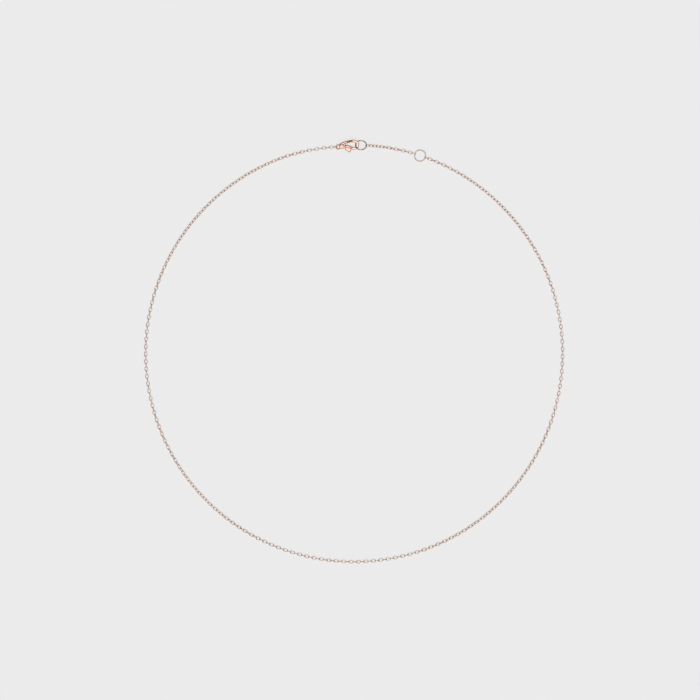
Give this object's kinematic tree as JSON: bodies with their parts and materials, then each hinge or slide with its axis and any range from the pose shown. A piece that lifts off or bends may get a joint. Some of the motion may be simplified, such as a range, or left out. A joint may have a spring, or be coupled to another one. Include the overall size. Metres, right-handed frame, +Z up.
{
  "type": "chain necklace",
  "caption": "Fine oval-link cable-chain necklace, closed and laid in a circle, with a trigger clasp hooked to the end ring of a short extender chain.",
  "frame": {"origin": "centre of the closed loop, on the surface the necklace lies on", "axes": "+Z up from the surface, +Y from the loop's centre towards the point where the clasp's hook holds the end ring, +X to the side of the extender"},
  "size_m": [0.1444, 0.1456, 0.0023],
  "materials": {
    "rose_gold": "polished",
    "spring_steel": "satin"
  },
  "bodies": {
    "section_01": {"chain_run_01": "rose_gold", "chain_run_02": "rose_gold", "chain_run_03": "rose_gold", "chain_run_04": "rose_gold", "chain_run_05": "rose_gold", "chain_run_06": "rose_gold"},
    "section_02": {"chain_run_07": "rose_gold", "chain_run_08": "rose_gold", "chain_run_09": "rose_gold"},
    "section_03": {"chain_run_10": "rose_gold", "chain_run_11": "rose_gold", "chain_run_12": "rose_gold"},
    "section_04": {"chain_run_13": "rose_gold", "chain_run_14": "rose_gold", "chain_run_15": "rose_gold", "chain_run_16": "rose_gold"},
    "section_05": {"chain_run_17": "rose_gold", "chain_run_18": "rose_gold", "chain_run_19": "rose_gold", "chain_run_20": "rose_gold"},
    "section_06": {"chain_run_21": "rose_gold", "chain_run_22": "rose_gold", "chain_run_23": "rose_gold", "chain_run_24": "rose_gold"},
    "section_07": {"chain_run_25": "rose_gold", "chain_run_26": "rose_gold", "chain_run_27": "rose_gold", "chain_run_28": "rose_gold"},
    "section_08": {"chain_run_29": "rose_gold", "chain_run_30": "rose_gold", "chain_run_31": "rose_gold"},
    "section_09": {"chain_run_32": "rose_gold", "chain_run_33": "rose_gold", "chain_run_34": "rose_gold"},
    "section_10": {"chain_run_35": "rose_gold", "chain_run_36": "rose_gold", "chain_run_37": "rose_gold", "chain_run_38": "rose_gold", "chain_run_39": "rose_gold", "chain_run_40": "rose_gold"},
    "section_11": {"chain_run_41": "rose_gold"},
    "extender": {"extender_run_1": "rose_gold", "extender_run_2": "rose_gold"},
    "end_ring": {"end_ring": "rose_gold"},
    "adjusting_ring": {"adjusting_ring": "rose_gold"},
    "clasp": {"clasp_body": "rose_gold", "clasp_pivot_pin": "rose_gold", "clasp_spring": "spring_steel"},
    "trigger": {"clasp_trigger": "rose_gold"}
  },
  "joints": [
    {"name": "squeeze_333", "type": "hinge", "parent": "section_11", "child": "section_10", "pos_m": [-0.02383, 0.06754, 0.0006], "axis": [0, 0, 1], "range_deg": [-11, 11]},
    {"name": "squeeze_287", "type": "hinge", "parent": "section_10", "child": "section_09", "pos_m": [-0.06567, 0.02858, 0.0006], "axis": [0, 0, 1], "range_deg": [-12.1, 12.1]},
    {"name": "front_fold", "type": "hinge", "parent": "section_09", "child": "section_08", "pos_m": [-0.07162, 0.00017, 0.0006], "axis": [-1, 0, 0], "range_deg": [0, 120]},
    {"name": "squeeze_240", "type": "hinge", "parent": "section_08", "child": "section_07", "pos_m": [-0.06515, -0.02975, 0.0006], "axis": [0, 0, 1], "range_deg": [-13.03, 13.03]},
    {"name": "squeeze_208", "type": "hinge", "parent": "section_07", "child": "section_06", "pos_m": [-0.03872, -0.06025, 0.0006], "axis": [0, 0, 1], "range_deg": [-6.53, 6.53]},
    {"name": "squeeze_176", "type": "hinge", "parent": "section_06", "child": "section_05", "pos_m": [0, -0.07162, 0.0006], "axis": [0, 0, 1], "range_deg": [-13.01, 13.01]},
    {"name": "squeeze_144", "type": "hinge", "parent": "section_05", "child": "section_04", "pos_m": [0.03872, -0.06025, 0.0006], "axis": [0, 0, 1], "range_deg": [-6.53, 6.53]},
    {"name": "squeeze_112", "type": "hinge", "parent": "section_04", "child": "section_03", "pos_m": [0.06515, -0.02975, 0.0006], "axis": [0, 0, 1], "range_deg": [-13.03, 13.03]},
    {"name": "front_fold_right", "type": "hinge", "parent": "section_03", "child": "section_02", "pos_m": [0.07162, 0.00017, 0.0006], "axis": [-1, 0, 0], "range_deg": [-120, 0]},
    {"name": "squeeze_065", "type": "hinge", "parent": "section_02", "child": "section_01", "pos_m": [0.06567, 0.02858, 0.0006], "axis": [0, 0, 1], "range_deg": [-12.1, 12.1]},
    {"name": "squeeze_019", "type": "hinge", "parent": "section_01", "child": "extender", "pos_m": [0.02383, 0.06754, 0.0006], "axis": [0, 0, 1], "range_deg": [-12.1, 12.1]},
    {"name": "end_ring_tilt", "type": "hinge", "parent": "extender", "child": "end_ring", "pos_m": [0.00191, 0.07149, 0.00119], "axis": [-0.9996, 0.0267, 0], "range_deg": [0, 15]},
    {"name": "adjusting_ring_tilt", "type": "hinge", "parent": "extender", "child": "adjusting_ring", "pos_m": [0.02223, 0.06808, 0.0006], "axis": [0.9506, -0.3104, 0], "range_deg": [-15, 15]},
    {"name": "clasp_roll", "type": "hinge", "parent": "section_11", "child": "clasp", "pos_m": [-0.00637, 0.07083, 0.00108], "axis": [0.999, 0.0447, 0], "range_deg": [0, 15]},
    {"name": "trigger_pivot", "type": "hinge", "parent": "clasp", "child": "trigger", "pos_m": [-0.00465, 0.07104, 0.00112], "axis": [0.0123, -0.2754, 0.9613], "range_deg": [0, 18], "stiffness_Nm_per_rad": 0.0001, "springref_deg": -28.65, "deforming": ["clasp_spring"]}
  ],
  "couplings": [
    {"joint": "squeeze_287", "follows": "squeeze_333", "ratio": -1},
    {"joint": "squeeze_240", "follows": "squeeze_333", "ratio": -1.077},
    {"joint": "squeeze_208", "follows": "squeeze_333", "ratio": 0.53937},
    {"joint": "squeeze_176", "follows": "squeeze_333", "ratio": 1.0752},
    {"joint": "squeeze_144", "follows": "squeeze_333", "ratio": 0.53937},
    {"joint": "squeeze_112", "follows": "squeeze_333", "ratio": -1.077},
    {"joint": "front_fold_right", "follows": "front_fold", "ratio": -1},
    {"joint": "squeeze_065", "follows": "squeeze_333", "ratio": -1},
    {"joint": "squeeze_019", "follows": "squeeze_333", "ratio": 1}
  ]
}
